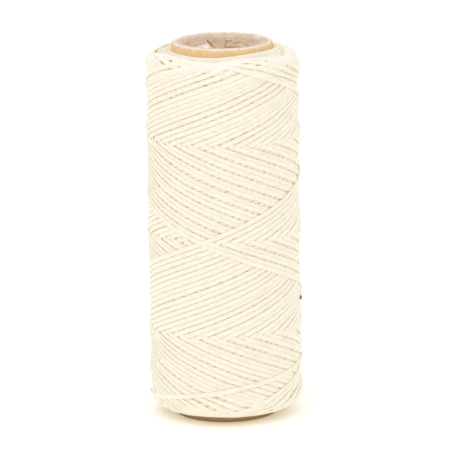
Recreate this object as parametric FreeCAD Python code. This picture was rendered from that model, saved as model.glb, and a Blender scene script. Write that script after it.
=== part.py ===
"""Waxed thread spool: flat waxed thread cross-wound on a spiral paper tube.

Millimetres, +Z up the tube's axis. The origin is the middle of the tube's foot, so the spool stands on z = 0.
The tube is seven spiral plies: a smooth liner, five chipboard plies and a kraft wrap. At the top end the
plies are burnished inwards: the outer ones lean over, two chipboard plies fold right round and hang down into
the bore as short ragged skirts, and the innermost ones stop under that fold. The winding is one thread,
modelled as the nine coverages that it is laid in, each a closed shell round the last, with the thread's two
ends apart.
"""

import FreeCAD, Part

import math
import os

# ---- Driving dimensions: the paper tube ----
TUBE_LENGTH = 116.0
BORE_DIAMETER = 25.4
LINER_THICKNESS = 0.25
CHIPBOARD_THICKNESS = 0.45
CHIPBOARD_COUNT = 5
KRAFT_THICKNESS = 0.30
SEAM_LEAD = 75.0  # how far a ply's seam climbs in one turn round the tube
SEAM_GAP = 0.25  # the butt gap between neighbouring turns of one ply
SEAM_STAGGER_DEG = 137.5  # from one ply's seam to the next ply's
SEAM_START_DEG = 83.0  # of the liner's seam, which keeps the wrap's seam off the front at both ends

# ---- Driving dimensions: the burnished top end ----
LIP_CLEARANCE = 0.20  # between the bore and the folded skirt beside it
KRAFT_LEAN_DEG = 22.0
LEAN_DEG = {1: 40.0, 2: 50.0}  # how far the outer chipboard plies lean in, by ply number
SKIRT_LENGTH = {3: 1.5, 4: 3.0}  # the plies that fold right over, and how far each hangs below its fold
TEAR_COUNT = {3: 9, 4: 7}  # tears in each skirt's lower edge
TEAR_SHARE = {3: 0.75, 4: 0.55}  # the deepest tear, as a share of its skirt's length
TEAR_WIDTH = 2.6
MISSING_SECTOR_DEG = (104.0, 158.0)  # where the longer skirt has torn away
MISSING_SHARE = 0.9  # of that skirt's length

# ---- Driving dimensions: the winding ----
WINDING_DIAMETER = 46.6
BARE_END = 2.5  # bare tube at each end, outside the winding
LAYER_COUNT = 9
LAYER_END_STEP = 0.3  # each coverage reaches this much further along the tube than the one under it
END_DROP = 0.6  # the winding's end face falls by this much from the tube out to the shoulder
SHOULDER_SHARE = 0.55  # the shoulder's radius, as a share of the winding's depth
THREAD_WIDTH = 1.35
THREAD_THICKNESS = 0.50
HELIX_LEAD = 60.0  # how far the thread climbs in one turn
INNER_END_LENGTH = 38.0  # the start of the thread, trapped straight along the tube
INNER_END_DEG = 60.0
OUTER_END_LENGTH = 24.0  # the finish of the thread, tucked in flush with the surface
OUTER_END_DEG = -8.0  # where that stretch starts, at its lower end
OUTER_END_Z = 36.0

# ---- Sizes that follow ----
BORE_RADIUS = BORE_DIAMETER / 2
LINER_OUTER = BORE_RADIUS + LINER_THICKNESS
CHIPBOARD_OUTER = LINER_OUTER + CHIPBOARD_COUNT * CHIPBOARD_THICKNESS
TUBE_RADIUS = CHIPBOARD_OUTER + KRAFT_THICKNESS
WINDING_RADIUS = WINDING_DIAMETER / 2
WINDING_DEPTH = WINDING_RADIUS - TUBE_RADIUS
MARGIN = 1.0  # how far a cutter runs past what it cuts

FOOT = FreeCAD.Vector(0, 0, 0)
AXIS = FreeCAD.Vector(0, 0, 1)


def chipboard_radii(number):
    """Inner and outer radius of a chipboard ply, where ply 1 is the outermost."""
    outer = CHIPBOARD_OUTER - (number - 1) * CHIPBOARD_THICKNESS
    return outer - CHIPBOARD_THICKNESS, outer


INNERMOST_FOLDED = max(SKIRT_LENGTH)
# The fold of the innermost folded ply goes round the plies inside it, with the lip's clearance.
FOLD_WRAPPED = chipboard_radii(INNERMOST_FOLDED)[0] - BORE_RADIUS + LIP_CLEARANCE
FOLD_RADIUS = chipboard_radii(INNERMOST_FOLDED)[0] - FOLD_WRAPPED / 2


def nose_height():
    """How far the burnished end rises above the centre of the folds."""
    rises = [(TUBE_RADIUS - FOLD_RADIUS) * math.sin(math.radians(KRAFT_LEAN_DEG))]
    for number, lean in LEAN_DEG.items():
        rises.append((chipboard_radii(number)[1] - FOLD_RADIUS) * math.sin(math.radians(lean)))
    for number in SKIRT_LENGTH:
        rises.append(chipboard_radii(number)[1] - FOLD_RADIUS)
    return max(rises)


FOLD_Z = TUBE_LENGTH - nose_height()
LINER_TOP = FOLD_Z - SKIRT_LENGTH[INNERMOST_FOLDED] - LIP_CLEARANCE  # just under the longer skirt's hem


def point(radius, z):
    return FreeCAD.Vector(radius, 0, z)


def on_fold(reach, degrees):
    """A point at a distance and an angle from the centre of the folds, counted from straight outwards."""
    angle = math.radians(degrees)
    return point(FOLD_RADIUS + reach * math.cos(angle), FOLD_Z + reach * math.sin(angle))


def arc(first, middle, last):
    return Part.Arc(first, middle, last).toShape()


def fold_arc(reach, degrees):
    """The arc round the centre of the folds that a ply's face follows as it leans in."""
    return arc(on_fold(reach, 0), on_fold(reach, degrees / 2), on_fold(reach, degrees))


def lines(*points):
    return [Part.makeLine(a, b) for a, b in zip(points, points[1:])]


def turned(edges):
    """The solid that a closed outline makes when it turns about the tube's axis."""
    wire = Part.Wire(Part.__sortEdges__(edges))
    return Part.Face(wire).revolve(FOOT, AXIS, 360)


def ring(inner, outer, low, high, degrees=360):
    base = FreeCAD.Vector(0, 0, low)
    whole = Part.makeCylinder(outer, high - low, base, AXIS, degrees)
    return whole.cut(Part.makeCylinder(inner, high - low, base))


# ---- The paper tube ----


def leaning_ply(inner, outer, lean):
    """A ply whose top leans in over the folds."""
    near, far = inner - FOLD_RADIUS, outer - FOLD_RADIUS
    walls = lines(point(inner, FOLD_Z), point(inner, 0), point(outer, 0), point(outer, FOLD_Z))
    tip = lines(on_fold(far, lean), on_fold(near, lean))
    return turned(walls + [fold_arc(far, lean), fold_arc(near, lean)] + tip)


def skirt_radii(number):
    """Inner and outer radius of a folded ply's skirt: its wall mirrored about the centre of the folds."""
    inner, outer = chipboard_radii(number)
    return 2 * FOLD_RADIUS - outer, 2 * FOLD_RADIUS - inner


def folded_ply(number):
    """A ply whose top folds right over and hangs down into the bore."""
    inner, outer = chipboard_radii(number)
    skirt_inner, skirt_outer = skirt_radii(number)
    hem = FOLD_Z - SKIRT_LENGTH[number]
    walls = lines(point(inner, FOLD_Z), point(inner, 0), point(outer, 0), point(outer, FOLD_Z))
    down = lines(point(skirt_inner, FOLD_Z), point(skirt_inner, hem), point(skirt_outer, hem))
    back_up = lines(point(skirt_outer, hem), point(skirt_outer, FOLD_Z))
    folds = [fold_arc(outer - FOLD_RADIUS, 180), fold_arc(inner - FOLD_RADIUS, 180)]
    return turned(walls + folds + down + back_up)


def tear(number, width, depth, degrees):
    """The cutter for one V-shaped tear in a skirt's lower edge."""
    skirt_inner, skirt_outer = skirt_radii(number)
    start = skirt_inner - MARGIN
    mouth = FreeCAD.Vector(start, 0, FOLD_Z - SKIRT_LENGTH[number] - MARGIN)
    half = width / 2 * (depth + MARGIN) / depth
    corners = [(-half, 0), (half, 0), (0, depth + MARGIN), (-half, 0)]
    outline = Part.makePolygon([mouth + FreeCAD.Vector(0, y, z) for y, z in corners])
    reach = skirt_outer + LIP_CLEARANCE / 2 - start
    cutter = Part.Face(outline).extrude(FreeCAD.Vector(reach, 0, 0))
    cutter.rotate(FOOT, AXIS, degrees)
    return cutter


def missing_stretch(number):
    """The cutter for the stretch where a skirt has torn away."""
    skirt_inner, skirt_outer = skirt_radii(number)
    hem = FOLD_Z - SKIRT_LENGTH[number]
    torn_to = hem + SKIRT_LENGTH[number] * MISSING_SHARE
    start, end = MISSING_SECTOR_DEG
    inner, outer = skirt_inner - LIP_CLEARANCE / 2, skirt_outer + LIP_CLEARANCE / 2
    cutter = ring(inner, outer, hem - MARGIN, torn_to, end - start)
    cutter.rotate(FOOT, AXIS, start)
    return cutter


def torn(ply, number):
    """A folded ply with the tears in its skirt, each of another width and depth."""
    count = TEAR_COUNT[number]
    for k in range(count):
        vary = math.sin(12.9 * (k + number)) ** 2  # from 0 to 1, without a pattern
        depth = SKIRT_LENGTH[number] * TEAR_SHARE[number] * (0.5 + 0.5 * vary)
        width = TEAR_WIDTH * (1.2 - 0.5 * vary)
        degrees = 360 * (k + 0.6 * vary) / count + 20 * number
        ply = ply.cut(tear(number, width, depth, degrees))
    if number == INNERMOST_FOLDED:
        ply = ply.cut(missing_stretch(number))
    return ply


def seam(inner, outer, number):
    """The cutter for a ply's spiral butt gap, from the foot up to the centre of the folds."""
    middle = (inner + outer) / 2
    spine = Part.makeHelix(SEAM_LEAD, FOLD_Z + MARGIN, middle)
    half_depth = (outer - inner) / 2 + SEAM_GAP
    half_gap = SEAM_GAP / math.cos(math.atan(SEAM_LEAD / (2 * math.pi * middle))) / 2  # measured up the tube
    corners = [(-1, -1), (1, -1), (1, 1), (-1, 1), (-1, -1)]
    outline = Part.makePolygon([point(middle + half_depth * a, half_gap * b) for a, b in corners])
    cutter = Part.Wire(spine.Edges).makePipeShell([outline], True, True)
    cutter.translate(FreeCAD.Vector(0, 0, -MARGIN))
    cutter.rotate(FOOT, AXIS, SEAM_START_DEG + number * SEAM_STAGGER_DEG)
    return cutter


def chipboard_ply(number):
    inner, outer = chipboard_radii(number)
    if number in SKIRT_LENGTH:
        ply = torn(folded_ply(number), number)
    elif number in LEAN_DEG:
        ply = leaning_ply(inner, outer, LEAN_DEG[number])
    else:
        ply = ring(inner, outer, 0, FOLD_Z)
    return ply.cut(seam(inner, outer, number))


def tube_plies():
    """The seven plies by name, from the bore outwards."""
    liner = ring(BORE_RADIUS, LINER_OUTER, 0, LINER_TOP)
    plies = {"inner_liner_ply": liner.cut(seam(BORE_RADIUS, LINER_OUTER, 0))}
    for number in range(CHIPBOARD_COUNT, 0, -1):
        plies[f"chipboard_ply_{number}"] = chipboard_ply(number)
    kraft = leaning_ply(CHIPBOARD_OUTER, TUBE_RADIUS, KRAFT_LEAN_DEG)
    plies["outer_kraft_ply"] = kraft.cut(seam(CHIPBOARD_OUTER, TUBE_RADIUS, CHIPBOARD_COUNT + 1))
    return plies


# ---- The winding ----


def wound_body(layer):
    """Everything wound up to and including a layer: a thick ring with rounded shoulders."""
    share = layer / LAYER_COUNT
    radius = TUBE_RADIUS + WINDING_DEPTH * share
    shoulder = WINDING_DEPTH * share * SHOULDER_SHARE
    crest = radius - shoulder  # the radius where the end face meets the shoulder
    half = TUBE_LENGTH / 2 - BARE_END - (LAYER_COUNT - layer) * LAYER_END_STEP
    crest_half = half - END_DROP * share
    flank_half = crest_half - shoulder
    middle = TUBE_LENGTH / 2
    bulge = shoulder * math.sin(math.radians(45))
    edges = lines(
        point(crest, middle - crest_half),
        point(TUBE_RADIUS, middle - half),
        point(TUBE_RADIUS, middle + half),
        point(crest, middle + crest_half),
    )
    edges += lines(point(radius, middle + flank_half), point(radius, middle - flank_half))
    for side in (1, -1):
        start = point(crest, middle + side * crest_half)
        through = point(crest + bulge, middle + side * (flank_half + bulge))
        edges.append(arc(start, through, point(radius, middle + side * flank_half)))
    return turned(edges)


def inner_end():
    """The start of the thread, lying straight along the tube under the first coverage."""
    low = (TUBE_LENGTH - INNER_END_LENGTH) / 2
    width = math.degrees(THREAD_WIDTH / TUBE_RADIUS)
    strip = ring(TUBE_RADIUS, TUBE_RADIUS + THREAD_THICKNESS, low, low + INNER_END_LENGTH, width)
    strip.rotate(FOOT, AXIS, INNER_END_DEG)
    return strip


def outer_end():
    """The finish of the thread: a flat strip along the helix, flush with the winding's surface."""
    climb = math.atan(HELIX_LEAD / (2 * math.pi * WINDING_RADIUS))
    height = OUTER_END_LENGTH * math.sin(climb)
    spine = Part.makeHelix(HELIX_LEAD, height, WINDING_RADIUS)
    across = FreeCAD.Vector(0, -math.sin(climb), math.cos(climb)) * (THREAD_WIDTH / 2)
    deep = FreeCAD.Vector(THREAD_THICKNESS + MARGIN, 0, 0)
    corners = [(-1, -1), (-1, 1), (1, 1), (1, -1), (-1, -1)]
    outline = Part.makePolygon([point(WINDING_RADIUS, 0) + across * a + deep * b for a, b in corners])
    bar = Part.Wire(spine.Edges).makePipeShell([outline], True, True)
    skin = ring(WINDING_RADIUS - THREAD_THICKNESS, WINDING_RADIUS, -THREAD_WIDTH, height + THREAD_WIDTH)
    strip = bar.common(skin)
    strip.translate(FreeCAD.Vector(0, 0, OUTER_END_Z))
    strip.rotate(FOOT, AXIS, OUTER_END_DEG)
    return strip


def thread():
    """The thread's coverages and its two ends, by name."""
    start, finish = inner_end(), outer_end()
    pieces = {"thread_inner_end": start}
    under = start
    for layer in range(1, LAYER_COUNT + 1):
        body = wound_body(layer)
        shell = body.cut(under)
        if layer == LAYER_COUNT:
            shell = shell.cut(finish)
        pieces[f"thread_layer_{layer}"] = shell
        under = body
    pieces["thread_outer_end"] = finish
    return pieces


def main():
    os.makedirs("parts", exist_ok=True)
    for name, shape in {**tube_plies(), **thread()}.items():
        shape.exportStep(f"parts/{name}.step")
        print(f"{name}: {len(shape.Solids)} solid, valid {shape.isValid()}, {shape.Volume:.1f} mm3")
    print(f"the bore's wall is {LINER_TOP:.2f} mm long, and the folds' centre is at z {FOLD_Z:.2f}")


main()
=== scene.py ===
"""Waxed thread spool: the looks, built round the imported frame.

The thread is laid stroke by stroke as a winding machine lays it: each stroke rests on what is already there,
bridges the hollows that a taut flat thread bridges, and raises the surface for the next. Lengths inside the
script are millimetres until a mesh is made. Angles go round +Z from +X, and -Y is the front.
"""

import math

import bmesh
import bpy
import numpy as np
from mathutils import Matrix, Vector


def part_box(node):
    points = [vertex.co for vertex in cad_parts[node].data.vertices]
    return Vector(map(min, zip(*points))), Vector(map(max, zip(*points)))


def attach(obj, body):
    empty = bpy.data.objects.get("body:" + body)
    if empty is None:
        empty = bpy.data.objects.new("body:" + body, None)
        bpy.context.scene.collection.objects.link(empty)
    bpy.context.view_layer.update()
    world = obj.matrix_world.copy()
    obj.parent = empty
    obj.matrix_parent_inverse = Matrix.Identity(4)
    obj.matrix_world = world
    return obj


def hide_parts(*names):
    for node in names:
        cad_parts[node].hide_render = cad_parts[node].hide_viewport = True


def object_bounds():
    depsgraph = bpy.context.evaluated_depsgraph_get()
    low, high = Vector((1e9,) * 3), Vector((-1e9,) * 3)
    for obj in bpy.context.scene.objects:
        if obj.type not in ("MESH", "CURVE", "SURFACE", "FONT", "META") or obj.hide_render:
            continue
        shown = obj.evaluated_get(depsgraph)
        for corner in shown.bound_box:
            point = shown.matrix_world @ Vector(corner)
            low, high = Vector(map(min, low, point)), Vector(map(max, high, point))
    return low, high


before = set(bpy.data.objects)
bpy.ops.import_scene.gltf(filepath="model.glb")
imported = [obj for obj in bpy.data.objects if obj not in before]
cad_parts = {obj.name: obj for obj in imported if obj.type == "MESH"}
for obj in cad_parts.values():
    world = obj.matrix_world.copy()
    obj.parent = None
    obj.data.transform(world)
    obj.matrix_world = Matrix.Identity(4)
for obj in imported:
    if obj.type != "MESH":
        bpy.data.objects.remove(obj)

CAD_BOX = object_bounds()
MM = 0.001
BODY = "root"
rng = np.random.default_rng(295)


def box_mm(node):
    """A node's lowest and highest corners, in mm."""
    low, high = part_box(node)
    return np.array(low) / MM, np.array(high) / MM


# ---- Sizes from the frame ----
WOUND_LOW, WOUND_HIGH = box_mm("thread_layer_9")
KRAFT_HIGH = box_mm("outer_kraft_ply")[1]
LINER_HIGH = box_mm("inner_liner_ply")[1]
TUBE_LENGTH = CAD_BOX[1].z / MM
WOUND_RADIUS = WOUND_HIGH[0]
TUBE_RADIUS = KRAFT_HIGH[0]
MIDDLE = TUBE_LENGTH / 2
WOUND_HALF = (WOUND_HIGH[2] - WOUND_LOW[2]) / 2  # half the winding's height, where it meets the tube

# ---- The thread ----
WIDTH = 1.45  # pressed flatter than it is before winding
THICKNESS = 0.42
WIDTH_SPREAD = 0.02  # as a share of the width
BEAD = (0.75, 0.62, 0.42)  # the sealed tip's half lengths: along the thread, across it and up
BEAD_RISE = 0.55  # of its centre, as a share of the thickness

# ---- The winding's pattern ----
STROKE_PAIRS = 35  # strokes up and down in one coverage
COVERAGES = 2
TURNS_PER_PAIR = 4 - 1 / STROKE_PAIRS
VIRTUAL_HALF = 59.5  # where the straight strokes would meet, from mid-height
TURN_ROUND = 4.0  # how far short of that each reversal rounds off
TURN_ROUND_SPREAD = 0.15  # how far each reversal differs from that at random
TURN_ROUND_WAVE = 1.7  # how far it drifts over one wave, to either side
STROKES_PER_WAVE = 13.7
LAST_REVERSAL_DEG = -113.9  # the last one is at the foot
WANDER = 0.10  # how far a strand strays to either side
WANDERS_PER_STROKE = 8
WIDTHS_PER_STROKE = 12
PAIRING = 0.23  # how far neighbouring falling strands are pushed together in twos

LEAD = 4 * VIRTUAL_HALF / TURNS_PER_PAIR
# The last turn's route: turns on, and how far up by then. It eases over the length below.
LAST_TURN = ((0, 0), (0.55, 0.6), (0.86, 3.9), (1.275, 14.0), (1.7, 25.0))
LAST_TURN_EASE = 12.0
TIP_DEG = -8.0
DIVE_LENGTH = 5.0  # of the stretch in which an end goes down between its neighbours
DIVE_DEPTH = 0.75
DIVE_POWER = 1.5

# ---- The winding's shape ----
SHOULDER = 4.6
SHOULDER_TURN = math.radians(80)
END_RISE = 0.7  # of the end face, from the shoulder in to the tube
SURFACE_DEPTH = 0.15  # of the reference surface, inside the highest crossings
BURIED_DEPTH = 2.1  # from the reference surface down to the last buried coverage
PRESSED_RISE = 0.35  # the most that a piled strand's underside rises above it: piled strands overlap
SHOULDER_SLACK = 0.6  # how much deeper the buried coverage lies where the reversals pile up
PILE_PLACE = 0.7  # where that is deepest, as a share of the shoulder's arc
PILE_SHARPNESS = 1.6
CORE_LEAST = 0.3  # the buried coverages reach at least this far out from the tube
CORE_GAP = 0.02  # between them and the tube
END_TURNS = 11  # round the tube at each end, where the buried reversals show on edge
END_TURN_PITCH = 0.54
END_TURN_WAVE = 0.26  # how far each rises and falls
END_TURN_WAVES = 7  # in one turn
END_TURN_INSET = 0.3  # of the first one, from the tube
END_TURN_HALF = 0.28  # half the room that one takes up
END_TURN_TILT = 0.6  # how much higher the innermost ones at the top lie on the right
TOP_TURNS_RISE = 0.35  # how much prouder those at the top stand
END_TURN_SINK = 2.0  # how much lower the outermost one lies than the innermost, for the reversals above it
END_TURN_SINK_POWER = 5

# ---- How the thread is stepped ----
STEP = 0.25  # between a strand's points while it settles
OVERLAP = 24  # points that a stretch shares with the one before
MESH_EVERY = {0: 6, 1: 4}  # of those points, how many to a section of the mesh, by coverage
LIFT_SMOOTHING = 5  # points in the running means
TILT_SMOOTHING = 13
TILT_REACH = 0.6  # between the two rests that tilt a strand, as a share of its width
MOST_TILT = 0.35
TILT_KEPT = 0.8  # of the tilt that the rests ask for
LAY_STEP = 0.35  # in points, while a stretch raises the surface
LAY_PLACES = 16  # across the strand
EDGE_DROP = 0.45  # how much thinner a strand is at its edges, as a share of its thickness
EDGE_POWER = 5
END_TURN_STEPS = 1500  # in one turn
END_TURN_PLACES = 7  # across it
END_TURN_EVERY = 20  # of those steps, how many to a section of the mesh
CORE_ROWS = 160
CORE_COLUMNS = 180
TIP_POINTS = 9  # at a strand's end, which give the direction of its bead
BEAD_ROWS = 13
BEAD_COLUMNS = 24
SECTION = {
    0: ((-1, 0.5), (-0.7, 0.95), (0.7, 0.95), (1, 0.5), (0.6, 0.05), (-0.6, 0.05)),
    1: ((-1, 0.5), (-0.86, 0.86), (-0.4, 1), (0.4, 1), (0.86, 0.86), (1, 0.5), (0.7, 0.05), (-0.7, 0.05)),
}


class Profile:
    """The reference surface's outline, by distance along it from mid-height."""

    def __init__(self, radius, shoulder, half):
        self.radius, self.shoulder = radius, shoulder
        self.arc_end = shoulder * SHOULDER_TURN
        crest = radius - shoulder * (1 - math.cos(SHOULDER_TURN))
        self.end_face = (crest - TUBE_RADIUS) / math.sin(SHOULDER_TURN)
        self.flat = half - END_RISE - shoulder * math.sin(SHOULDER_TURN)
        self.reach = self.flat + self.arc_end + self.end_face

    def at(self, along):
        """Radius, height, and the normal's two parts."""
        side, far = np.sign(along), np.abs(along)
        turn = np.clip((far - self.flat) / self.shoulder, 0, SHOULDER_TURN)
        past = np.maximum(far - self.flat - self.arc_end, 0)
        radius = self.radius - self.shoulder * (1 - np.cos(turn)) - past * math.sin(SHOULDER_TURN)
        height = np.minimum(far, self.flat) + self.shoulder * np.sin(turn) + past * math.cos(SHOULDER_TURN)
        return radius, MIDDLE + side * height, np.cos(turn), side * np.sin(turn)

    def place(self, angle, along, lift):
        """Points and outward normals at angles, distances along and heights above the surface."""
        radius, z, out, up = self.at(along)
        c, s = np.cos(angle), np.sin(angle)
        points = np.stack([(radius + lift * out) * c, (radius + lift * out) * s, z + lift * up], -1)
        return points, np.stack([out * c, out * s, up], -1)


class Heights:
    """The winding's surface so far: heights over the reference surface, on a grid."""

    CELL = 0.1

    def __init__(self, profile):
        self.profile = profile
        self.columns = int(round(2 * math.pi * profile.radius / self.CELL))
        self.rows = int(2 * profile.reach / self.CELL) + 1
        along = np.arange(self.rows) * self.CELL - profile.reach
        self.grid = np.repeat(buried_lift(profile, along)[None, :], self.columns, axis=0)

    def cells(self, angle, along):
        column = np.rint(angle / (2 * math.pi) * self.columns).astype(int) % self.columns
        row = np.rint((along + self.profile.reach) / self.CELL).astype(int)
        return column, np.clip(row, 0, self.rows - 1)

    def sample(self, angle, along):
        return self.grid[self.cells(angle, along)]

    def raise_to(self, angle, along, lift):
        np.maximum.at(self.grid, self.cells(angle, along), lift)


def buried_lift(profile, along):
    """The height of the last buried coverage: lower where the reversals pile up on the shoulders."""
    from_pile = (np.abs(along) - profile.flat - profile.arc_end * PILE_PLACE) / profile.arc_end
    return -BURIED_DEPTH - SHOULDER_SLACK * np.exp(-((from_pile * PILE_SHARPNESS) ** 2))


def smooth_noise(x, size):
    """Smooth noise at places x along a thread, whose knots are one apart."""
    values = rng.normal(0, size, int(x.max()) + 3)
    k = x.astype(int)
    u = x - k
    u = u * u * (3 - 2 * u)
    return values[k] * (1 - u) + values[k + 1] * u


def taut(distance, rest, bend):
    """The least line over the rests whose hollows bend no more than a taut thread's."""
    x = distance.tolist()
    y = (rest - bend * distance**2 / 2).tolist()
    hull = []
    for i in range(len(y)):
        while len(hull) > 1:
            a, b = hull[-2], hull[-1]
            if (y[b] - y[a]) * (x[i] - x[a]) > (y[i] - y[a]) * (x[b] - x[a]):
                break
            hull.pop()
        hull.append(i)
    return np.interp(distance, distance[hull], np.array(y)[hull]) + bend * distance**2 / 2


def pressed(rest):
    """Rests brought down above the reference surface, into the strands that they lie on."""
    squeezed = PRESSED_RISE * (1 - np.exp(-np.maximum(rest, 0) / PRESSED_RISE))
    return np.where(rest > 0, squeezed, rest)


def smooth(values, reach):
    """A running mean, twice."""
    kernel = np.ones(reach) / reach
    for _ in range(2):
        padded = np.concatenate([np.full(reach, values[0]), values, np.full(reach, values[-1])])
        values = np.convolve(padded, kernel, "same")[reach:-reach]
    return values


class Strand:
    """One stretch of thread on the surface, from end to end."""

    UNDER = np.linspace(-0.45, 0.45, 7)

    def __init__(self, profile, angle, along, width):
        self.profile, self.angle, self.along, self.width = profile, angle, along, width
        radius = profile.at(along)[0]
        across, rise = np.gradient(angle) * radius, np.gradient(along)
        size = np.hypot(across, rise)
        self.side_angle, self.side_along = -rise / size / radius, across / size
        self.bend = float(((across / size) ** 2 / radius).mean())

    def settle(self, heights, held=None):
        """Rest on the surface. The first points keep the held lift and tilt of the stretch before."""
        offset = self.UNDER[None, :] * self.width[:, None]
        angle = self.angle[:, None] + self.side_angle[:, None] * offset
        along = self.along[:, None] + self.side_along[:, None] * offset
        under = heights.sample(angle, along)
        left, right = under[:, :3].max(1), under[:, 4:].max(1)
        rest = pressed(np.maximum((left + right) / 2, under[:, 3]))
        distance = np.arange(len(rest)) * STEP
        self.lift = smooth(taut(distance, rest, self.bend), LIFT_SMOOTHING)
        tilt = np.clip((right - left) / (TILT_REACH * self.width), -MOST_TILT, MOST_TILT)
        self.tilt = smooth(tilt, TILT_SMOOTHING) * TILT_KEPT
        if held is not None:
            n = len(held[0])
            fade = np.linspace(0, 1, n) ** 2
            self.lift[:n] = held[0] * (1 - fade) + self.lift[:n] * fade
            self.tilt[:n] = held[1] * (1 - fade) + self.tilt[:n] * fade

    def dive(self, at_start=False):
        """Sink one end under its neighbours."""
        fade = np.clip(1 - np.arange(len(self.lift)) * STEP / DIVE_LENGTH, 0, 1) ** DIVE_POWER
        self.lift = self.lift - DIVE_DEPTH * (fade if at_start else fade[::-1])

    def lay(self, heights):
        """Raise the surface by the stretch up to the last point that is its own."""
        fine = np.arange(0, self.last, LAY_STEP)
        index = np.arange(len(self.angle))
        values = (
            self.angle, self.along, self.lift, self.tilt, self.side_angle, self.side_along, self.width,
        )
        angle, along, lift, tilt, side_angle, side_along, width = (
            np.interp(fine, index, v)[:, None] for v in values
        )
        across = np.linspace(-0.5, 0.5, LAY_PLACES)[None, :]
        crown = THICKNESS * (1 - EDGE_DROP * np.abs(2 * across) ** EDGE_POWER)
        across = across * width
        raised = lift + crown + tilt * across
        heights.raise_to(angle + side_angle * across, along + side_along * across, raised)

    def section_points(self, section, keep):
        """The mesh's points: one ring of the cross-section at every kept point."""
        points, normal = self.profile.place(self.angle, self.along, self.lift)
        lean = np.arctan(self.tilt)[:, None]
        return ring_points(points, normal, section, self.width[:, None], THICKNESS, lean)[keep]


def ring_points(points, normal, section, width, height, lean=0.0):
    """A ring of a thread's cross-section at every point. The points run along its inner face's middle."""
    forward = np.gradient(points, axis=0)
    forward /= np.linalg.norm(forward, axis=1)[:, None]
    side = np.cross(normal, forward)
    side /= np.linalg.norm(side, axis=1)[:, None]
    up = np.cross(forward, side)
    side, up = side * np.cos(lean) + up * np.sin(lean), up * np.cos(lean) - side * np.sin(lean)
    return np.stack([points + side * (a * width / 2) + up * (b * height) for a, b in section], 1)


def winding_path():
    """The whole outer thread's angle, distance along and width, sampled evenly, oldest first."""
    half_pair = TURNS_PER_PAIR / 2
    strokes = STROKE_PAIRS * 2 * COVERAGES
    turn_length = math.hypot(2 * math.pi * WOUND_RADIUS, 4 * VIRTUAL_HALF / TURNS_PER_PAIR)
    per_stroke = int(half_pair * turn_length / STEP)
    stroke = np.arange(strokes * per_stroke + 1) / per_stroke
    time = (stroke - strokes) * half_pair
    cycle = (stroke / 2) % 1.0
    straight = VIRTUAL_HALF * (1 - 4 * np.abs(cycle - 0.5))
    count = np.arange(strokes + 1)
    drift = TURN_ROUND_WAVE * (4 * np.abs(count / STROKES_PER_WAVE % 1 - 0.5) - 1)
    short = TURN_ROUND + drift + rng.uniform(-TURN_ROUND_SPREAD, TURN_ROUND_SPREAD, strokes + 1)
    rounding = np.interp(stroke, count, short)
    to_top, to_foot = VIRTUAL_HALF - straight, VIRTUAL_HALF + straight
    along = straight - (np.hypot(to_top, rounding) - to_top) + (np.hypot(to_foot, rounding) - to_foot)
    along += smooth_noise(stroke * WANDERS_PER_STROKE, WANDER)
    falling = np.clip(8 * (0.25 - np.abs(cycle - 0.75)), 0, 1)
    along += PAIRING * falling * np.where((stroke // 2) % 2, 1, -1)
    angle = math.radians(LAST_REVERSAL_DEG) + 2 * math.pi * time
    width = WIDTH * (1 + smooth_noise(stroke * WIDTHS_PER_STROKE, WIDTH_SPREAD))
    return angle, along, width, per_stroke


def wind(heights):
    """Lay every coverage, oldest first, and then the last turn along its given route. Gives the strands of
    each.
    """
    angle, along, width, per_stroke = winding_path()
    ends = [(k + 1) * per_stroke for k in range((len(angle) - 1) // per_stroke)]
    last_angle, last_along = last_turn(angle[-1], along[-1])
    angle, along = np.append(angle, last_angle), np.append(along, last_along)
    width = np.append(width, np.full(len(last_angle), WIDTH))
    ends.append(len(angle) - 1)
    groups = [[] for _ in range(COVERAGES + 1)]
    held, first = None, 0
    for k, end in enumerate(ends):
        stretch = slice(first, end + 1)
        strand = Strand(heights.profile, angle[stretch], along[stretch], width[stretch])
        strand.settle(heights, held)
        if end == ends[-1]:
            strand.dive()
        strand.last = len(strand.lift) - 1 - (OVERLAP if end != ends[-1] else 0)
        strand.lay(heights)
        held = strand.lift[strand.last :], strand.tilt[strand.last :]
        first = end - OVERLAP
        groups[k // (STROKE_PAIRS * 2)].append(strand)
    return groups


def last_turn(angle, along):
    """The last turn, laid along a given route: low round the foot, then up over the strokes at a gentler
    slope.
    """
    turns, rises = zip(*LAST_TURN)
    length = 2 * math.pi * WOUND_RADIUS * turns[-1]
    turn = np.arange(1, int(length / STEP)) / int(length / STEP) * turns[-1]
    route = smooth(np.interp(turn, turns, rises), int(LAST_TURN_EASE / STEP))
    return angle + 2 * math.pi * turn, along + route


def outer_end(heights):
    """The thread's finish, which comes out from under a neighbour and ends in its sealed tip."""
    low, high = box_mm("thread_outer_end")
    rise = high[2] - low[2] - WIDTH
    length = math.hypot(rise, 2 * math.pi * WOUND_RADIUS * rise / LEAD)
    share = np.linspace(1, 0, int(length / STEP))
    along = low[2] + WIDTH / 2 + rise * share - MIDDLE
    angle = math.radians(TIP_DEG) + 2 * math.pi * rise * share / LEAD
    strand = Strand(heights.profile, angle, along, np.full(len(share), WIDTH))
    strand.settle(heights)
    strand.dive(at_start=True)
    strand.last = len(share) - 1
    strand.lay(heights)
    return strand


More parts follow.
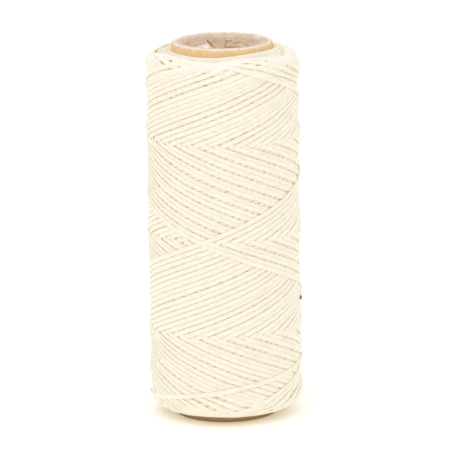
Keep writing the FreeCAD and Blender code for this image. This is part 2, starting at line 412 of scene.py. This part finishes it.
def end_turns(heights, side):
    """One end face: the thread on edge, in turns from the tube out. Side is 1 at the top, -1 at the foot."""
    turn = np.arange(0, END_TURNS, 1 / END_TURN_STEPS)
    angle = 2 * math.pi * turn
    inwards = heights.profile.reach - END_TURN_INSET - np.maximum(turn - 1, 0) * END_TURN_PITCH
    sink = END_TURN_SINK * (turn / END_TURNS) ** END_TURN_SINK_POWER
    tilt = max(side, 0) * (TOP_TURNS_RISE + END_TURN_TILT * np.cos(angle) * (1 - turn / END_TURNS))
    lift = smooth_noise(turn * END_TURN_WAVES, END_TURN_WAVE) + tilt - sink
    for across in np.linspace(-END_TURN_HALF, END_TURN_HALF, END_TURN_PLACES):
        heights.raise_to(angle, side * (inwards + across), lift)
    kept = slice(None, None, END_TURN_EVERY)
    points, _ = heights.profile.place(angle[kept], side * inwards[kept], lift[kept])
    normal = np.tile([0.0, 0.0, float(side)], (len(points), 1))
    rings = ring_points(points - normal * WIDTH, normal, SECTION[1], THICKNESS, WIDTH)
    return grid_mesh(rings, True)


# ---- Meshes ----


def grid_mesh(points, closed):
    """Points, quads and UVs from rows of points, each row a ring if closed. U runs along the rows in mm."""
    rows, across = points.shape[:2]
    column = np.arange(across if closed else across - 1)
    a = np.arange(rows - 1)[:, None] * across + column[None, :]
    b = np.arange(rows - 1)[:, None] * across + (column[None, :] + 1) % across
    quads = np.stack([a, b, b + across, a + across], -1).reshape(-1, 4)
    step = np.linalg.norm(np.diff(points.mean(1), axis=0), axis=1)
    u = np.concatenate([[0], np.cumsum(step)])
    v = np.arange(across + 1) / across
    row = np.repeat(np.arange(rows - 1), len(column))
    col = np.tile(column, rows - 1)
    uv = np.stack([
        np.stack([u[row], v[col]], -1), np.stack([u[row], v[col + 1]], -1),
        np.stack([u[row + 1], v[col + 1]], -1), np.stack([u[row + 1], v[col]], -1),
    ], 1)
    return points.reshape(-1, 3), quads, uv.reshape(-1, 2)


def make_piece(name, parts, material, replaced=()):
    """One object from several lots of points, quads and UVs."""
    points, quads, uvs, start = [], [], [], 0
    for p, q, uv in parts:
        points.append(p)
        quads.append(q + start)
        uvs.append(uv)
        start += len(p)
    points, quads, uvs = np.concatenate(points) * MM, np.concatenate(quads), np.concatenate(uvs)
    mesh = bpy.data.meshes.new(name)
    mesh.vertices.add(len(points))
    mesh.vertices.foreach_set("co", points.ravel())
    mesh.loops.add(quads.size)
    mesh.loops.foreach_set("vertex_index", quads.ravel().astype(np.int32))
    mesh.polygons.add(len(quads))
    mesh.polygons.foreach_set("loop_start", np.arange(0, quads.size, 4, dtype=np.int32))
    mesh.polygons.foreach_set("use_smooth", np.ones(len(quads), bool))
    mesh.uv_layers.new(name="UVMap").data.foreach_set("uv", uvs.ravel())
    mesh.update(calc_edges=True)
    mesh.validate()
    piece = bpy.data.objects.new(name, mesh)
    bpy.context.scene.collection.objects.link(piece)
    piece.data.materials.append(material)
    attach(piece, BODY)
    if replaced:
        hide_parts(*replaced)
    return piece


def strand_parts(strands, detail):
    """The meshes of some strands."""
    parts = []
    for strand in strands:
        keep = np.arange(0, strand.last, MESH_EVERY[detail])
        keep = np.append(keep, strand.last)
        parts.append(grid_mesh(strand.section_points(SECTION[detail], keep), True))
    return parts


def turned_part(outline, steps, shape=None):
    """A mesh turned about Z from a closed outline of radii and heights. shape moves its points."""
    outline = np.array(outline, float)
    angle = np.linspace(0, 2 * math.pi, steps, endpoint=False)
    a, r = np.meshgrid(angle, outline[:, 0], indexing="ij")
    z = np.repeat(outline[None, :, 1], steps, axis=0)
    if shape:
        r, z = shape(a, r, z)
    points = np.stack([r * np.cos(a), r * np.sin(a), z], -1)
    points = np.concatenate([points, points[:1]])
    vertices, quads, uv = grid_mesh(points, True)
    last = steps * outline.shape[0]
    quads = np.where(quads >= last, quads - last, quads)
    return vertices[:last], quads[:, ::-1], uv.reshape(-1, 4, 2)[:, ::-1].reshape(-1, 2)


# ---- The winding's pieces ----


def place_winding(material, under, scorched):
    """Wind the thread and make its pieces. The end faces come first, as the reversals lie on them."""
    profile = Profile(WOUND_RADIUS - SURFACE_DEPTH, SHOULDER, WOUND_HALF)
    heights = Heights(profile)
    ends = [end_turns(heights, side) for side in (1, -1)]
    old, new, by_hand = wind(heights)
    finish = outer_end(heights)
    half = len(new) // 2
    slot, outer, tip = "waxed_thread", ["thread_layer_9"], ["thread_outer_end"]
    make_piece("end_turns", ends, material, ["thread_layer_8"])
    # The under strands and the core wear the darker copy of the thread: painted shade for what shows only
    # down the gaps.
    make_piece("strands_under", strand_parts(old, 0), under, ["thread_layer_8"])
    make_piece("strands_upper_1", strand_parts(new[:half], 1), material, outer)
    make_piece("strands_upper_2", strand_parts(new[half:], 1), material, outer)
    make_piece("last_turn", strand_parts(by_hand, 1), material, outer)
    make_piece("thread_finish", strand_parts([finish], 1), material, tip)
    make_piece("sealed_tip", [sealed_tip(finish)], scorched, tip)
    make_buried(profile, under)


def sealed_tip(strand):
    """The bead of melted wax and thread that seals the tip."""
    near = slice(-TIP_POINTS, None)
    points, normal = strand.profile.place(strand.angle[near], strand.along[near], strand.lift[near])
    centre = points[-1] + normal[-1] * THICKNESS * BEAD_RISE
    forward = points[-1] - points[0]
    forward /= np.linalg.norm(forward)
    side = np.cross(normal[-1], forward)
    rows = []
    for turn in np.linspace(0, math.pi, BEAD_ROWS):
        around = np.linspace(0, 2 * math.pi, BEAD_COLUMNS, endpoint=False)
        lump = 1 + 0.10 * np.sin(2 * around + 3 * turn) + 0.07 * np.sin(5 * around - 4 * turn)
        across = BEAD[1] * math.sin(turn) * lump * np.cos(around)
        up = BEAD[2] * math.sin(turn) * lump * np.sin(around)
        ahead = -BEAD[0] * math.cos(turn)
        rows.append(centre + forward * ahead + side * across[:, None] + normal[-1] * up[:, None])
    return grid_mesh(np.array(rows), True)


def make_buried(profile, material):
    """The coverages that nothing shows of: their outer surface, down to the tube."""
    along = np.linspace(-profile.reach, profile.reach, CORE_ROWS)
    radius, z, out, up = profile.at(along)
    lift = buried_lift(profile, along)
    outside = np.stack([radius + lift * out, z + lift * up], -1)
    outside[:, 0] = np.maximum(outside[:, 0], TUBE_RADIUS + CORE_LEAST)
    inside = [(TUBE_RADIUS + CORE_GAP, outside[-1, 1]), (TUBE_RADIUS + CORE_GAP, outside[0, 1])]
    outline = np.concatenate([outside, inside])
    layers = [f"thread_layer_{k}" for k in range(1, 8)]
    make_piece("winding_core", [turned_part(outline, CORE_COLUMNS)], material, layers)


# ---- The tube's pieces ----
# The plies burnish inwards over a circle of folds. Skirts are the ply's own paper hanging below that circle.
paper_rng = np.random.default_rng(77)
PLY_OUTER = {k: box_mm(f"chipboard_ply_{k}")[1][0] for k in range(1, 6)}
LINER_OUTER = LINER_HIGH[0]
LINER_THICKNESS = 0.25
FOLD_Z = box_mm("chipboard_ply_5")[1][2]
FOLD_RADIUS = PLY_OUTER[4] - (box_mm("chipboard_ply_4")[1][2] - FOLD_Z)
KRAFT_LEAN_DEG = 22.0
LEAN_DEG = {1: 40.0, 2: 50.0}
SKIRT_LENGTH = {3: 1.5, 4: 3.0}
HEM_CURL = {3: 0.42, 4: 0.12}  # how far each hem curls in, off the paper behind it
# The short skirt's hem: angle round the bore, and how far it hangs there below the fold.
SHORT_HEM = (
    (0, 1.5), (20, 1.1), (34, 1.75), (42, 2.0), (55, 0.8), (62, 0.7), (68, 1.1), (70, 1.45), (73, 0.7),
    (80, 0.35), (85, 0.7), (86.5, 3.0), (99, 3.35), (107, 1.3), (112.5, 0.3), (116, 0.9), (130, 1.3),
    (143, 1.9), (160, 1.2), (185, 1.6), (203, 0.8), (222, 1.7), (240, 1.1), (262, 1.5), (280, 0.9),
    (300, 1.6), (322, 1.0), (340, 1.6),
)
LONG_HEM_SCALLOP = 0.5  # how much shorter the long skirt is between its points
LONG_HEM_WAVES = 3.5
LONG_HEM_POWER = 0.5
LEAST_FALL = 0.15
MISSING_DEG = (104.0, 158.0)  # where the long skirt has torn away
MISSING_EDGE_DEG = 4.0  # the width of the slope at either side of that
MISSING_FALL = 0.3  # what is left of it there
FOLD_BLEND = 3.0  # below the folds, the height over which a folded ply's lumps fade away
BULGE_IN = 0.6  # how far the lumps move a folded ply inwards or outwards, as a share of their height
TIP_HEIGHT = 0.8  # above the folds, by which a leaning ply's lumps are full
TIP_ROUND = 0.03  # off a torn tip's two edges
TIP_OVERHANG_DEG = (1.2, 2.2, 1.2)  # how far a torn tip reaches past the lean, across its thickness
FLAP_DEG = (102.0, 146.0)  # where the liner has come up behind it
FLAP_EDGE_DEG = (9.0, 8.0)  # the width of the slope at either side of that
FLAP_ROWS = 18
FLAP_RISE = 2.3
FLAP_FOOT = 107.5
FLAP_LEAN = 0.45  # how far its edge comes in, off the wall
FLAP_BULGE = 1.2  # how far it bulges below that
# Heights of the rows of points up a straight wall, closer where it is cut or burnished.
WALL_ROWS = (0, 0.08, 0.4, 1, 2, 3, 8, 30, 58, 86, 104, 108, 110, 111, 112, 112.6, 113.2, 113.8)
LEAN_STEPS = 8
FOLD_STEPS = 18
SKIRT_STEPS = 12
SKIRT_START = 0.08  # of a skirt's length, where its first row is
TUBE_COLUMNS = 480


def ripple(size, most, climb, count=14):
    """Smooth unevenness that closes round the tube, as a function of angle and height."""
    turns = paper_rng.integers(2, most, count)
    climbs = paper_rng.normal(0, climb, count)
    phases = paper_rng.uniform(0, 2 * math.pi, count)

    def at(angle, z):
        waves = [np.sin(t * angle + c * z + p) for t, c, p in zip(turns, climbs, phases)]
        return size * sum(waves) / math.sqrt(count / 2)

    return at


def on_fold(reach, degrees):
    """Radii and heights at distances and angles from the centre of the folds."""
    angle = np.radians(degrees)
    return np.stack([FOLD_RADIUS + reach * np.cos(angle), FOLD_Z + reach * np.sin(angle)], -1)


def leaning_outline(inner, outer, lean):
    """A ply's section: up its outside, in over the folds, and back down its inside."""
    walls = np.array([z for z in WALL_ROWS if z < FOLD_Z])
    outside = np.stack([np.full(len(walls), outer), walls], -1)
    inside = np.stack([np.full(len(walls), inner), walls[::-1]], -1)
    near, far = inner - FOLD_RADIUS, outer - FOLD_RADIUS
    over = on_fold(far, np.linspace(0, lean, LEAN_STEPS))
    across_tip = np.array([far - TIP_ROUND, (far + near) / 2, near + TIP_ROUND])
    tip = on_fold(across_tip, lean + np.array(TIP_OVERHANG_DEG))
    back = on_fold(near, np.linspace(lean, 0, LEAN_STEPS))
    return np.concatenate([outside, over, tip, back, inside])


def folded_outline(number):
    """A folded ply's section: up its outside, right over, down its skirt, and back inside itself."""
    inner, outer = PLY_OUTER[number + 1], PLY_OUTER[number]
    walls = np.array([z for z in WALL_ROWS if z < FOLD_Z])
    outside = np.stack([np.full(len(walls), outer), walls], -1)
    inside = np.stack([np.full(len(walls), inner), walls[::-1]], -1)
    near, far = inner - FOLD_RADIUS, outer - FOLD_RADIUS
    fall = np.linspace(SKIRT_START, 1, SKIRT_STEPS) * SKIRT_LENGTH[number]
    skirt_in = np.stack([np.full(SKIRT_STEPS, FOLD_RADIUS - far), FOLD_Z - fall], -1)
    skirt_out = np.stack([np.full(SKIRT_STEPS, FOLD_RADIUS - near), FOLD_Z - fall[::-1]], -1)
    over = on_fold(far, np.linspace(0, 180, FOLD_STEPS))
    back = on_fold(near, np.linspace(180, 0, FOLD_STEPS))
    return np.concatenate([outside, over, skirt_in, skirt_out, back, inside])


def within(degrees, span, edges):
    """1 inside a span of degrees, 0 outside it, with a slope inside each of its two edges."""
    return np.clip((degrees - span[0]) / edges[0], 0, 1) * np.clip((span[1] - degrees) / edges[1], 0, 1)


def hem_fall(number, frays):
    """How far a skirt hangs at each angle."""
    degrees, falls = zip(*SHORT_HEM)

    def at(angle):
        turned = np.degrees(angle) % 360
        if number == 3:
            fall = np.interp(turned, degrees, falls, period=360)
        else:
            scallop = np.abs(np.sin(LONG_HEM_WAVES * angle)) ** LONG_HEM_POWER
            fall = SKIRT_LENGTH[number] - LONG_HEM_SCALLOP * scallop
            inside = within(turned, MISSING_DEG, (MISSING_EDGE_DEG, MISSING_EDGE_DEG))
            fall = fall * (1 - inside) + MISSING_FALL * inside
        return np.maximum(fall + frays(angle, 0 * angle), LEAST_FALL)

    return at


def make_folded_ply(number, material):
    """A ply that folds right over, with its ragged skirt."""
    lumps = ripple(size=0.07, most=60, climb=1.5)
    frays = ripple(size=0.09, most=110, climb=0)
    fall_at = hem_fall(number, frays)

    def shape(angle, r, z):
        skirt = (r < FOLD_RADIUS) & (z < FOLD_Z)
        hang = np.where(skirt, (FOLD_Z - z) / SKIRT_LENGTH[number], 0)
        top = np.clip((z - FOLD_Z + FOLD_BLEND) / FOLD_BLEND, 0, 1)
        bulge = lumps(angle, z) * np.where(skirt, 1, top)
        z = np.where(skirt, FOLD_Z - hang * fall_at(angle), z + np.where(z > FOLD_Z, bulge, 0))
        return r - HEM_CURL[number] * hang**2 + BULGE_IN * bulge, z

    part = turned_part(folded_outline(number), TUBE_COLUMNS, shape)
    name = f"chipboard_ply_{number}"
    make_piece(f"folded_ply_{number}", [part], material, [name])


def make_leaning_ply(name, node, inner, outer, lean, material):
    """A ply that leans in at the top, with its torn tip."""
    lumps = ripple(size=0.035, most=70, climb=1.2)
    frays = ripple(size=0.05, most=140, climb=0)

    def shape(angle, r, z):
        tip = np.clip((z - FOLD_Z) / TIP_HEIGHT, 0, 1)
        return r + lumps(angle, z) * tip, z + frays(angle, 0 * z) * tip**2

    part = turned_part(leaning_outline(inner, outer, lean), TUBE_COLUMNS, shape)
    make_piece(name, [part], material, [node])


def make_liner(material):
    """The smooth paper that lines the bore, with the flap that has come up behind the torn skirt."""
    below = [z for z in WALL_ROWS if z < FLAP_FOOT]
    rows = np.concatenate([below, np.linspace(FLAP_FOOT, LINER_HIGH[2], FLAP_ROWS)])
    outer, inner = LINER_OUTER, LINER_OUTER - LINER_THICKNESS
    outline = np.concatenate([
        np.stack([np.full(len(rows), outer), rows], -1),
        np.stack([np.full(len(rows), inner), rows[::-1]], -1),
    ])
    wrinkles = ripple(size=0.05, most=40, climb=1.0)
    frays = ripple(size=0.06, most=120, climb=0)

    def shape(angle, r, z):
        share = np.clip((z - FLAP_FOOT) / (LINER_HIGH[2] - FLAP_FOOT), 0, 1)
        raised = within(np.degrees(angle) % 360, FLAP_DEG, FLAP_EDGE_DEG)
        z = z + share * (FLAP_RISE * raised + frays(angle, 0 * z))
        off_wall = raised * (FLAP_LEAN * share + FLAP_BULGE * np.sin(math.pi * share))
        return r + wrinkles(angle, z) * share - off_wall, z

    part = turned_part(outline, TUBE_COLUMNS, shape)
    make_piece("liner_paper", [part], material, ["inner_liner_ply"])


def place_tube(kraft, board, lip, skirt, liner):
    """The seven plies, each in the place of its CAD node."""
    make_leaning_ply(
        "kraft_wrap", "outer_kraft_ply", PLY_OUTER[1], TUBE_RADIUS, KRAFT_LEAN_DEG, kraft,
    )
    for number, lean in LEAN_DEG.items():
        inner, outer = PLY_OUTER[number + 1], PLY_OUTER[number]
        node = f"chipboard_ply_{number}"
        make_leaning_ply(f"leaning_ply_{number}", node, inner, outer, lean, board)
    make_folded_ply(3, lip)
    make_folded_ply(4, skirt)
    make_leaning_ply("inner_ply_5", "chipboard_ply_5", LINER_OUTER, PLY_OUTER[5], 0, board)
    make_liner(liner)


# ---- Materials ----


class Look:
    """A material under construction: its nodes, and short ways to add and join them."""

    def __init__(self, name, roughness):
        self.material = bpy.data.materials.new(name)
        self.material.use_nodes = True
        self.tree = self.material.node_tree
        self.shader = self.tree.nodes["Principled BSDF"]
        self.shader.inputs["Roughness"].default_value = roughness

    def add(self, kind, **inputs):
        node = self.tree.nodes.new(kind)
        for name, value in inputs.items():
            node.inputs[name.replace("_", " ")].default_value = value
        return node

    def join(self, output, target):
        self.tree.links.new(output, target)

    def place(self, kind, scale):
        """Object or UV coordinates, scaled."""
        coordinates = self.add("ShaderNodeTexCoord")
        mapping = self.add("ShaderNodeMapping", Scale=scale)
        self.join(coordinates.outputs[kind], mapping.inputs["Vector"])
        return mapping.outputs["Vector"]

    def noise(self, where, scale, detail=4.0, rough=0.6):
        node = self.add("ShaderNodeTexNoise", Scale=scale, Detail=detail, Roughness=rough)
        self.join(where, node.inputs["Vector"])
        return node.outputs["Fac"]

    def ramp(self, value, *stops):
        """Colours at values from 0 to 1."""
        node = self.add("ShaderNodeValToRGB")
        elements = node.color_ramp.elements
        while len(elements) < len(stops):
            elements.new(0.5)
        for element, (at, colour) in zip(elements, stops):
            element.position = at
            element.color = (*colour, 1)
        self.join(value, node.inputs["Fac"])
        return node.outputs["Color"]

    def blend(self, share, first, second, mode="MIX"):
        """Two colours mixed. The share is a number or an output."""
        node = self.add("ShaderNodeMix")
        node.data_type = "RGBA"
        node.blend_type = mode
        if isinstance(share, float):
            node.inputs[0].default_value = share
        else:
            self.join(share, node.inputs[0])
        for source, target in ((first, node.inputs[6]), (second, node.inputs[7])):
            if isinstance(source, tuple):
                target.default_value = (*source, 1)
            else:
                self.join(source, target)
        return node.outputs[2]

    def glow(self, colour):
        """Light that the surface gives off though it is no lamp: painted light that lifts the shade of wax
        and paper, and an even glow that whitens the floor.
        """
        self.shader.inputs["Emission Color"].default_value = (*colour, 1)
        self.shader.inputs["Emission Strength"].default_value = 1.0

    def bump(self, height, strength, distance, under=None):
        node = self.add("ShaderNodeBump", Strength=strength, Distance=distance)
        self.join(height, node.inputs["Height"])
        if under:
            self.join(under, node.inputs["Normal"])
        return node.outputs["Normal"]


# Painted light: what each surface gives off though none is a lamp, lifting its shade, set for the photo's
# bright exposure.
# It is about a quarter of the thread's brightness there, so it has to come off before the part stands in
# darker light.
THREAD_PAINTED_GLOW = (0.225, 0.205, 0.118)
LINER_PAINTED_GLOW = (0.15, 0.135, 0.105)
SKIRT_PAINTED_GLOW = (0.06, 0.045, 0.02)
LIP_PAINTED_GLOW = (0.035, 0.01, 0.0)
BURIED_PAINTED_GLOW = (0.20, 0.165, 0.08)

THREAD_LIGHT = (0.745, 0.705, 0.67)
THREAD_DEEP = (0.56, 0.50, 0.41)  # between the filaments
CLOUDY_SHARE = 0.3  # of the deep colour, where the wax is cloudy
# Painted shadow under the torn hems, where they curl off the paper behind them.
HEM_SHADOW_COLOUR = (0.16, 0.09, 0.05)
RUBBED_DEG = 28.0  # where the lip has been rubbed grey, and how far round that place
RUBBED_REACH = 3.2
RUBBED_COLOUR = (0.70, 0.68, 0.60)
FOOT_SHADE_HEIGHT = 4.0  # how high the painted shade under the winding reaches up the foot
FOOT_SHADE_COLOUR = (0.28, 0.17, 0.085)


def thread_material(name="waxed_thread", light=THREAD_LIGHT, deep=THREAD_DEEP, glow=THREAD_PAINTED_GLOW):
    """Flat waxed thread: filaments along it, cloudy wax, and a painted glow that lifts the shade between the
    strands.
    """
    look = Look(name, 0.48)
    filaments = look.noise(look.place("UV", (0.35, 26.0, 1.0)), 1.0, 3.0)
    wax = look.noise(look.place("Object", (1, 1, 1)), 420.0, 5.0)
    cloudy = tuple((1 - CLOUDY_SHARE) * a + CLOUDY_SHARE * b for a, b in zip(light, deep))
    mottled = look.ramp(wax, (0.22, cloudy), (0.55, light))
    streaked = look.blend(look.ramp(filaments, (0.42, (0.0,) * 3), (0.62, (0.7,) * 3)), mottled, deep)
    look.join(streaked, look.shader.inputs["Base Color"])
    shine = look.ramp(wax, (0.3, (0.40,) * 3), (0.7, (0.58,) * 3))
    look.join(shine, look.shader.inputs["Roughness"])
    specks = look.bump(wax, 0.25, 0.00006)
    look.join(look.bump(filaments, 0.8, 0.00008, specks), look.shader.inputs["Normal"])
    look.shader.inputs["Sheen Weight"].default_value = 0.15
    look.glow(glow)
    return look.material


def scorched_material():
    """The sealed tip: melted wax and thread, browned."""
    look = Look("sealed_tip", 0.32)
    lumps = look.noise(look.place("Object", (1, 1, 1)), 2600.0, 3.0)
    browned = look.ramp(lumps, (0.3, (0.10, 0.07, 0.05)), (0.7, (0.30, 0.24, 0.18)))
    look.join(browned, look.shader.inputs["Base Color"])
    look.join(look.bump(lumps, 0.5, 0.0001), look.shader.inputs["Normal"])
    return look.material


def paper_material(name, light, dark, fleck, fibre=1.0):
    """Paper: cloudy from pale to dark, with short fibres and a few flecks."""
    look = Look(name, 0.85)
    cloud = look.noise(look.place("Object", (1, 1, 1)), 700.0, 5.0)
    fibres = look.noise(look.place("Object", (1.0, 1.0, 0.28)), 5200.0, 3.0, 0.7)
    grains = look.noise(look.place("Object", (1, 1, 1)), 3000.0, 2.0)
    base = look.ramp(cloud, (0.32, dark), (0.66, light))
    base = look.blend(look.ramp(grains, (0.62, (0.0,) * 3), (0.74, (0.6,) * 3)), base, fleck)
    base = look.blend(look.ramp(fibres, (0.35, (0.25,) * 3), (0.6, (0.0,) * 3)), base, dark)
    look.join(base, look.shader.inputs["Base Color"])
    soft = look.bump(cloud, 0.4 * fibre, 0.00025)
    look.join(look.bump(fibres, 0.5 * fibre, 0.00008, soft), look.shader.inputs["Normal"])
    return look, base


def chipboard_look(name):
    return paper_material(name, (0.93, 0.82, 0.69), (0.78, 0.62, 0.47), (0.52, 0.36, 0.25))


def kraft_material():
    """The wrap: kraft paper, with painted shade darkening it towards the foot, under the winding."""
    light, dark, fleck = (0.87, 0.615, 0.34), (0.76, 0.49, 0.24), (0.54, 0.33, 0.15)
    look, base = paper_material("kraft_paper", light, dark, fleck, 0.6)
    # Painted shade under the winding: the kraft darkens towards the foot.
    coordinates = look.add("ShaderNodeTexCoord")
    split = look.add("ShaderNodeSeparateXYZ")
    look.join(coordinates.outputs["Object"], split.inputs["Vector"])
    up = look.add("ShaderNodeMapRange")
    up.inputs["From Min"].default_value = FOOT_SHADE_HEIGHT * MM
    up.inputs["From Max"].default_value = 0.0
    look.join(split.outputs["Z"], up.inputs["Value"])
    look.join(look.blend(up.outputs["Result"], base, FOOT_SHADE_COLOUR), look.shader.inputs["Base Color"])
    return look.material


def hem_shadow_mask(look):
    """Where the painted shadow along a folded ply's hem falls, from 0 to 0.9: the hem lies half way round
    the section.
    """
    coordinates = look.add("ShaderNodeTexCoord")
    split = look.add("ShaderNodeSeparateXYZ")
    look.join(coordinates.outputs["UV"], split.inputs["Vector"])
    stops = ((0.484, 0.0), (0.494, 0.9), (0.506, 0.9), (0.52, 0.0))
    return look.ramp(split.outputs["Y"], *((at, (value,) * 3) for at, value in stops))


def skirt_material():
    """The long skirt: rough chipboard that never saw the burnisher, with painted shadow along its hem and a
    painted glow.
    """
    light, dark, fleck = (0.86, 0.73, 0.59), (0.73, 0.56, 0.42), (0.40, 0.26, 0.17)
    look, base = paper_material("torn_skirt", light, dark, fleck, 1.6)
    look.join(look.blend(hem_shadow_mask(look), base, HEM_SHADOW_COLOUR), look.shader.inputs["Base Color"])
    look.glow(SKIRT_PAINTED_GLOW)
    return look.material


def lip_material():
    """The burnished lip: painted shadow along its torn hem, greyed where something has rubbed it, and a
    painted glow.
    """
    light, dark, fleck = (0.72, 0.59, 0.46), (0.56, 0.43, 0.32), (0.40, 0.27, 0.18)
    look, base = paper_material("burnished_lip", light, dark, fleck)
    base = look.blend(hem_shadow_mask(look), base, HEM_SHADOW_COLOUR)
    coordinates = look.add("ShaderNodeTexCoord")
    away = look.add("ShaderNodeVectorMath")
    away.operation = "DISTANCE"
    look.join(coordinates.outputs["Object"], away.inputs[0])
    angle, radius = math.radians(RUBBED_DEG), PLY_OUTER[3] * MM
    away.inputs[1].default_value = (radius * math.cos(angle), radius * math.sin(angle), TUBE_LENGTH * MM)
    reach = look.add("ShaderNodeMapRange")
    reach.inputs["From Min"].default_value = RUBBED_REACH * MM
    reach.inputs["From Max"].default_value = RUBBED_REACH * MM * 0.5
    look.join(away.outputs["Value"], reach.inputs["Value"])
    base = look.blend(reach.outputs["Result"], base, RUBBED_COLOUR)
    look.join(base, look.shader.inputs["Base Color"])
    look.glow(LIP_PAINTED_GLOW)
    return look.material


# ---- Camera, light and floor ----
CAMERA_DISTANCE = 1257.1  # along the floor
CAMERA_HEIGHT = 346.45
AIM = (0.5, 58.1)  # across and up
CAMERA_ROLL_DEG = -0.74
CAMERA_LENS = 334.5
WORLD_LIGHT = 0.96
WORLD_COLOUR = (0.955, 0.98, 1.0)
KEY_POWER = 1.2
KEY_PLACE = (-0.3, -0.7, 0.8)  # the lights' places, aims and sizes are in metres
KEY_AIM = (0, 0, 0.06)
KEY_SIZE = 0.7
FLOOR_COLOUR = (1.0, 0.95, 0.89)
FLOOR_GLOW = (0.12, 0.11, 0.10)  # lifts the floor to white beyond the spool's own shadow
FLOOR_SIZE = 6
FLOOR_DROP = 0.00005  # metres below the spool's foot
OVERHEAD_POWER = 1.2
OVERHEAD_COLOUR = (0.85, 0.96, 1.12)
OVERHEAD_PLACE = (0, -0.1, 0.9)
OVERHEAD_AIM = (0, 0, 0.1)
OVERHEAD_SIZE = 0.6


def make_camera():
    data = bpy.data.cameras.new("camera")
    data.lens = CAMERA_LENS
    data.sensor_width = 36
    data.clip_end = 100
    camera = bpy.data.objects.new("camera", data)
    bpy.context.scene.collection.objects.link(camera)
    place = Vector((0, -CAMERA_DISTANCE, CAMERA_HEIGHT)) * MM
    aim = Vector((AIM[0], 0, AIM[1])) * MM
    turn = (aim - place).to_track_quat("-Z", "Y").to_matrix().to_4x4()
    roll = Matrix.Rotation(math.radians(CAMERA_ROLL_DEG), 4, "Z")
    camera.matrix_world = Matrix.Translation(place) @ turn @ roll
    bpy.context.scene.camera = camera


def area_light(name, place, aim, size, power, colour=(1, 1, 1)):
    data = bpy.data.lights.new(name, "AREA")
    data.size = size
    data.energy = power
    data.color = colour
    light = bpy.data.objects.new(name, data)
    bpy.context.scene.collection.objects.link(light)
    light.location = place
    light.rotation_mode = "QUATERNION"
    light.rotation_quaternion = (Vector(aim) - Vector(place)).to_track_quat("-Z", "Y")


def make_floor():
    mesh = bpy.data.meshes.new("floor")
    bm = bmesh.new()
    bmesh.ops.create_grid(bm, x_segments=1, y_segments=1, size=FLOOR_SIZE)
    bm.to_mesh(mesh)
    bm.free()
    floor = bpy.data.objects.new("floor", mesh)
    floor.location = (0, 0, -FLOOR_DROP)
    bpy.context.scene.collection.objects.link(floor)
    look = Look("floor", 0.9)
    look.shader.inputs["Base Color"].default_value = (*FLOOR_COLOUR, 1)
    look.glow(FLOOR_GLOW)
    floor.data.materials.append(look.material)


def make_surroundings():
    world = bpy.data.worlds.new("studio")
    world.use_nodes = True
    world.node_tree.nodes["Background"].inputs["Color"].default_value = (*WORLD_COLOUR, 1)
    world.node_tree.nodes["Background"].inputs["Strength"].default_value = WORLD_LIGHT
    bpy.context.scene.world = world
    area_light("key", KEY_PLACE, KEY_AIM, KEY_SIZE, KEY_POWER)
    area_light("overhead", OVERHEAD_PLACE, OVERHEAD_AIM, OVERHEAD_SIZE, OVERHEAD_POWER, OVERHEAD_COLOUR)
    make_floor()
    bpy.context.scene.view_settings.view_transform = "Standard"


make_camera()
make_surroundings()
thread_look = thread_material()
# A darker copy of the thread with its own painted glow: painted shade for the strands and core seen only
# down the gaps.
shaded_under_look = thread_material("waxed_thread_under_shaded", (0.69, 0.62, 0.54), (0.54, 0.47, 0.36), BURIED_PAINTED_GLOW)
place_winding(thread_look, shaded_under_look, scorched_material())
board_look, _ = chipboard_look("chipboard")
liner_look, _ = paper_material("liner_paper", (0.97, 0.92, 0.88), (0.93, 0.86, 0.81), (0.8, 0.72, 0.66), 0.7)
# The liner's painted glow lifts the shade deep in the bore.
liner_look.glow(LINER_PAINTED_GLOW)
place_tube(kraft_material(), board_look.material, lip_material(), skirt_material(), liner_look.material)
inner_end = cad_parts["thread_inner_end"]
inner_end.data.materials.clear()
inner_end.data.materials.append(thread_look)
